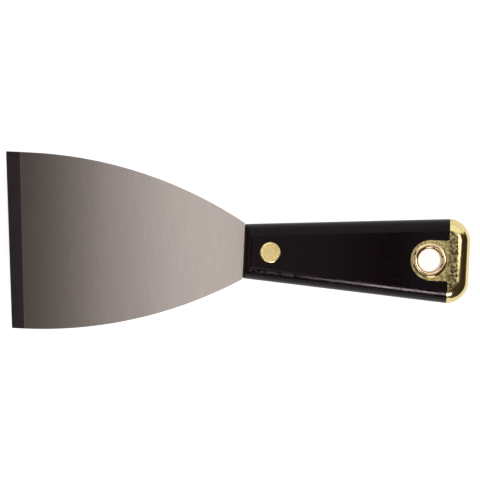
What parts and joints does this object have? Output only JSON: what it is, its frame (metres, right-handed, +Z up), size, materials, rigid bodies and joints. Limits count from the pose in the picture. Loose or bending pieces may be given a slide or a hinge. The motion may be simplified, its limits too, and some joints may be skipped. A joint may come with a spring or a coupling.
{
  "type": "flexible putty knife",
  "caption": "Flared spring-steel putty knife blade in a riveted black moulded handle with a brass end cap and a brass-lined hanging hole.",
  "frame": {"origin": "under the middle of the knife's bounding box, on the surface it lies on", "axes": "+X from the working edge to the butt, +Y across the blade towards its leading corner, +Z up through the blade's thickness"},
  "size_m": [0.2024, 0.0762, 0.0167],
  "materials": {
    "spring_steel": "belt-polished across its length, finely ground at the working edge",
    "black_nylon": "moulded, semi-gloss",
    "rivet_brass": "headed, with a matt pressed middle and a bright rim",
    "cap_brass": "drawn and bright polished"
  },
  "bodies": {
    "root": {"blade": "spring_steel", "upper_scale": "black_nylon", "lower_scale": "black_nylon", "rivet_post": "rivet_brass", "rivet_socket": "rivet_brass", "end_cap": "cap_brass", "hang_eyelet": "cap_brass"}
  },
  "joints": []
}
